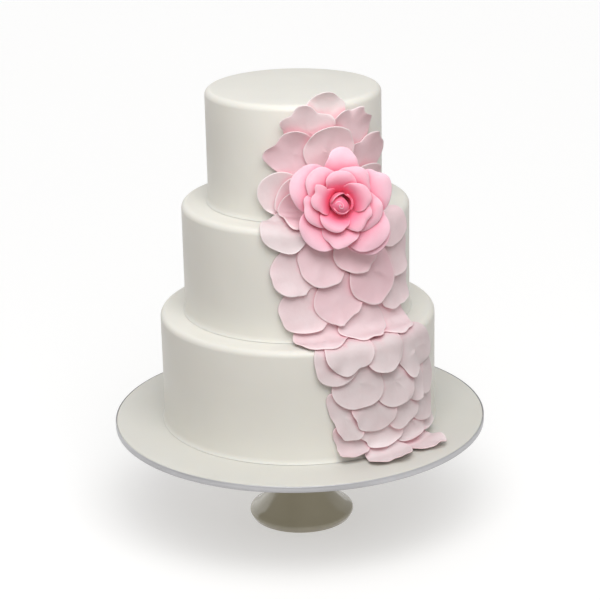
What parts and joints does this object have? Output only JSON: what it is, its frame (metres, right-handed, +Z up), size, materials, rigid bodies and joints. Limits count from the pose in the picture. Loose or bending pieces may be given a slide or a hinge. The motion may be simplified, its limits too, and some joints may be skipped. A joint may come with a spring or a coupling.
{
  "type": "wedding cake",
  "caption": "Round tiered wedding cake in smooth white sugar paste with a cascade of pale pink sugar petals and a sugar rose, on its covered board and pedestal stand.",
  "frame": {"origin": "on the floor under the middle of the stand's foot", "axes": "+Z up along the tiers' common axis, -Y toward the front of the cake, +X to the right seen from the front"},
  "size_m": [0.3512, 0.3512, 0.4363],
  "materials": {
    "sugar_paste": "satin",
    "petal_paste": "matte",
    "rose_paste": "matte",
    "board_ribbon": "satin",
    "stand_glaze": "glazed"
  },
  "bodies": {
    "root": {"stand": "stand_glaze", "board": "sugar_paste", "board_ribbon": "board_ribbon", "tier_bottom": "sugar_paste", "tier_middle": "sugar_paste", "tier_top": "sugar_paste", "petal_b17": "petal_paste", "petal_b16": "petal_paste", "petal_b15": "petal_paste", "petal_b14": "petal_paste", "petal_b13": "petal_paste", "petal_b12": "petal_paste", "petal_b11": "petal_paste", "petal_b8": "petal_paste", "petal_b10": "petal_paste", "petal_b9": "petal_paste", "petal_b7_right": "petal_paste", "petal_b7": "petal_paste", "petal_b6": "petal_paste", "petal_b5": "petal_paste", "petal_b1": "petal_paste", "petal_b4": "petal_paste", "petal_b3": "petal_paste", "petal_b2": "petal_paste", "petal_m11": "petal_paste", "petal_m12": "petal_paste", "petal_m10": "petal_paste", "petal_m9": "petal_paste", "petal_m7": "petal_paste", "petal_m8": "petal_paste", "petal_m6": "petal_paste", "petal_m5": "petal_paste", "petal_m2": "petal_paste", "petal_m3": "petal_paste", "petal_m4": "petal_paste", "petal_r1": "petal_paste", "petal_t1": "petal_paste", "petal_t3": "petal_paste", "petal_t2": "petal_paste", "petal_t6": "petal_paste", "petal_t4": "petal_paste", "petal_t5": "petal_paste", "petal_t7": "petal_paste", "petal_t8": "petal_paste", "petal_t9": "petal_paste", "petal_m1": "petal_paste", "petal_t10": "petal_paste", "rose": "rose_paste"}
  },
  "joints": []
}
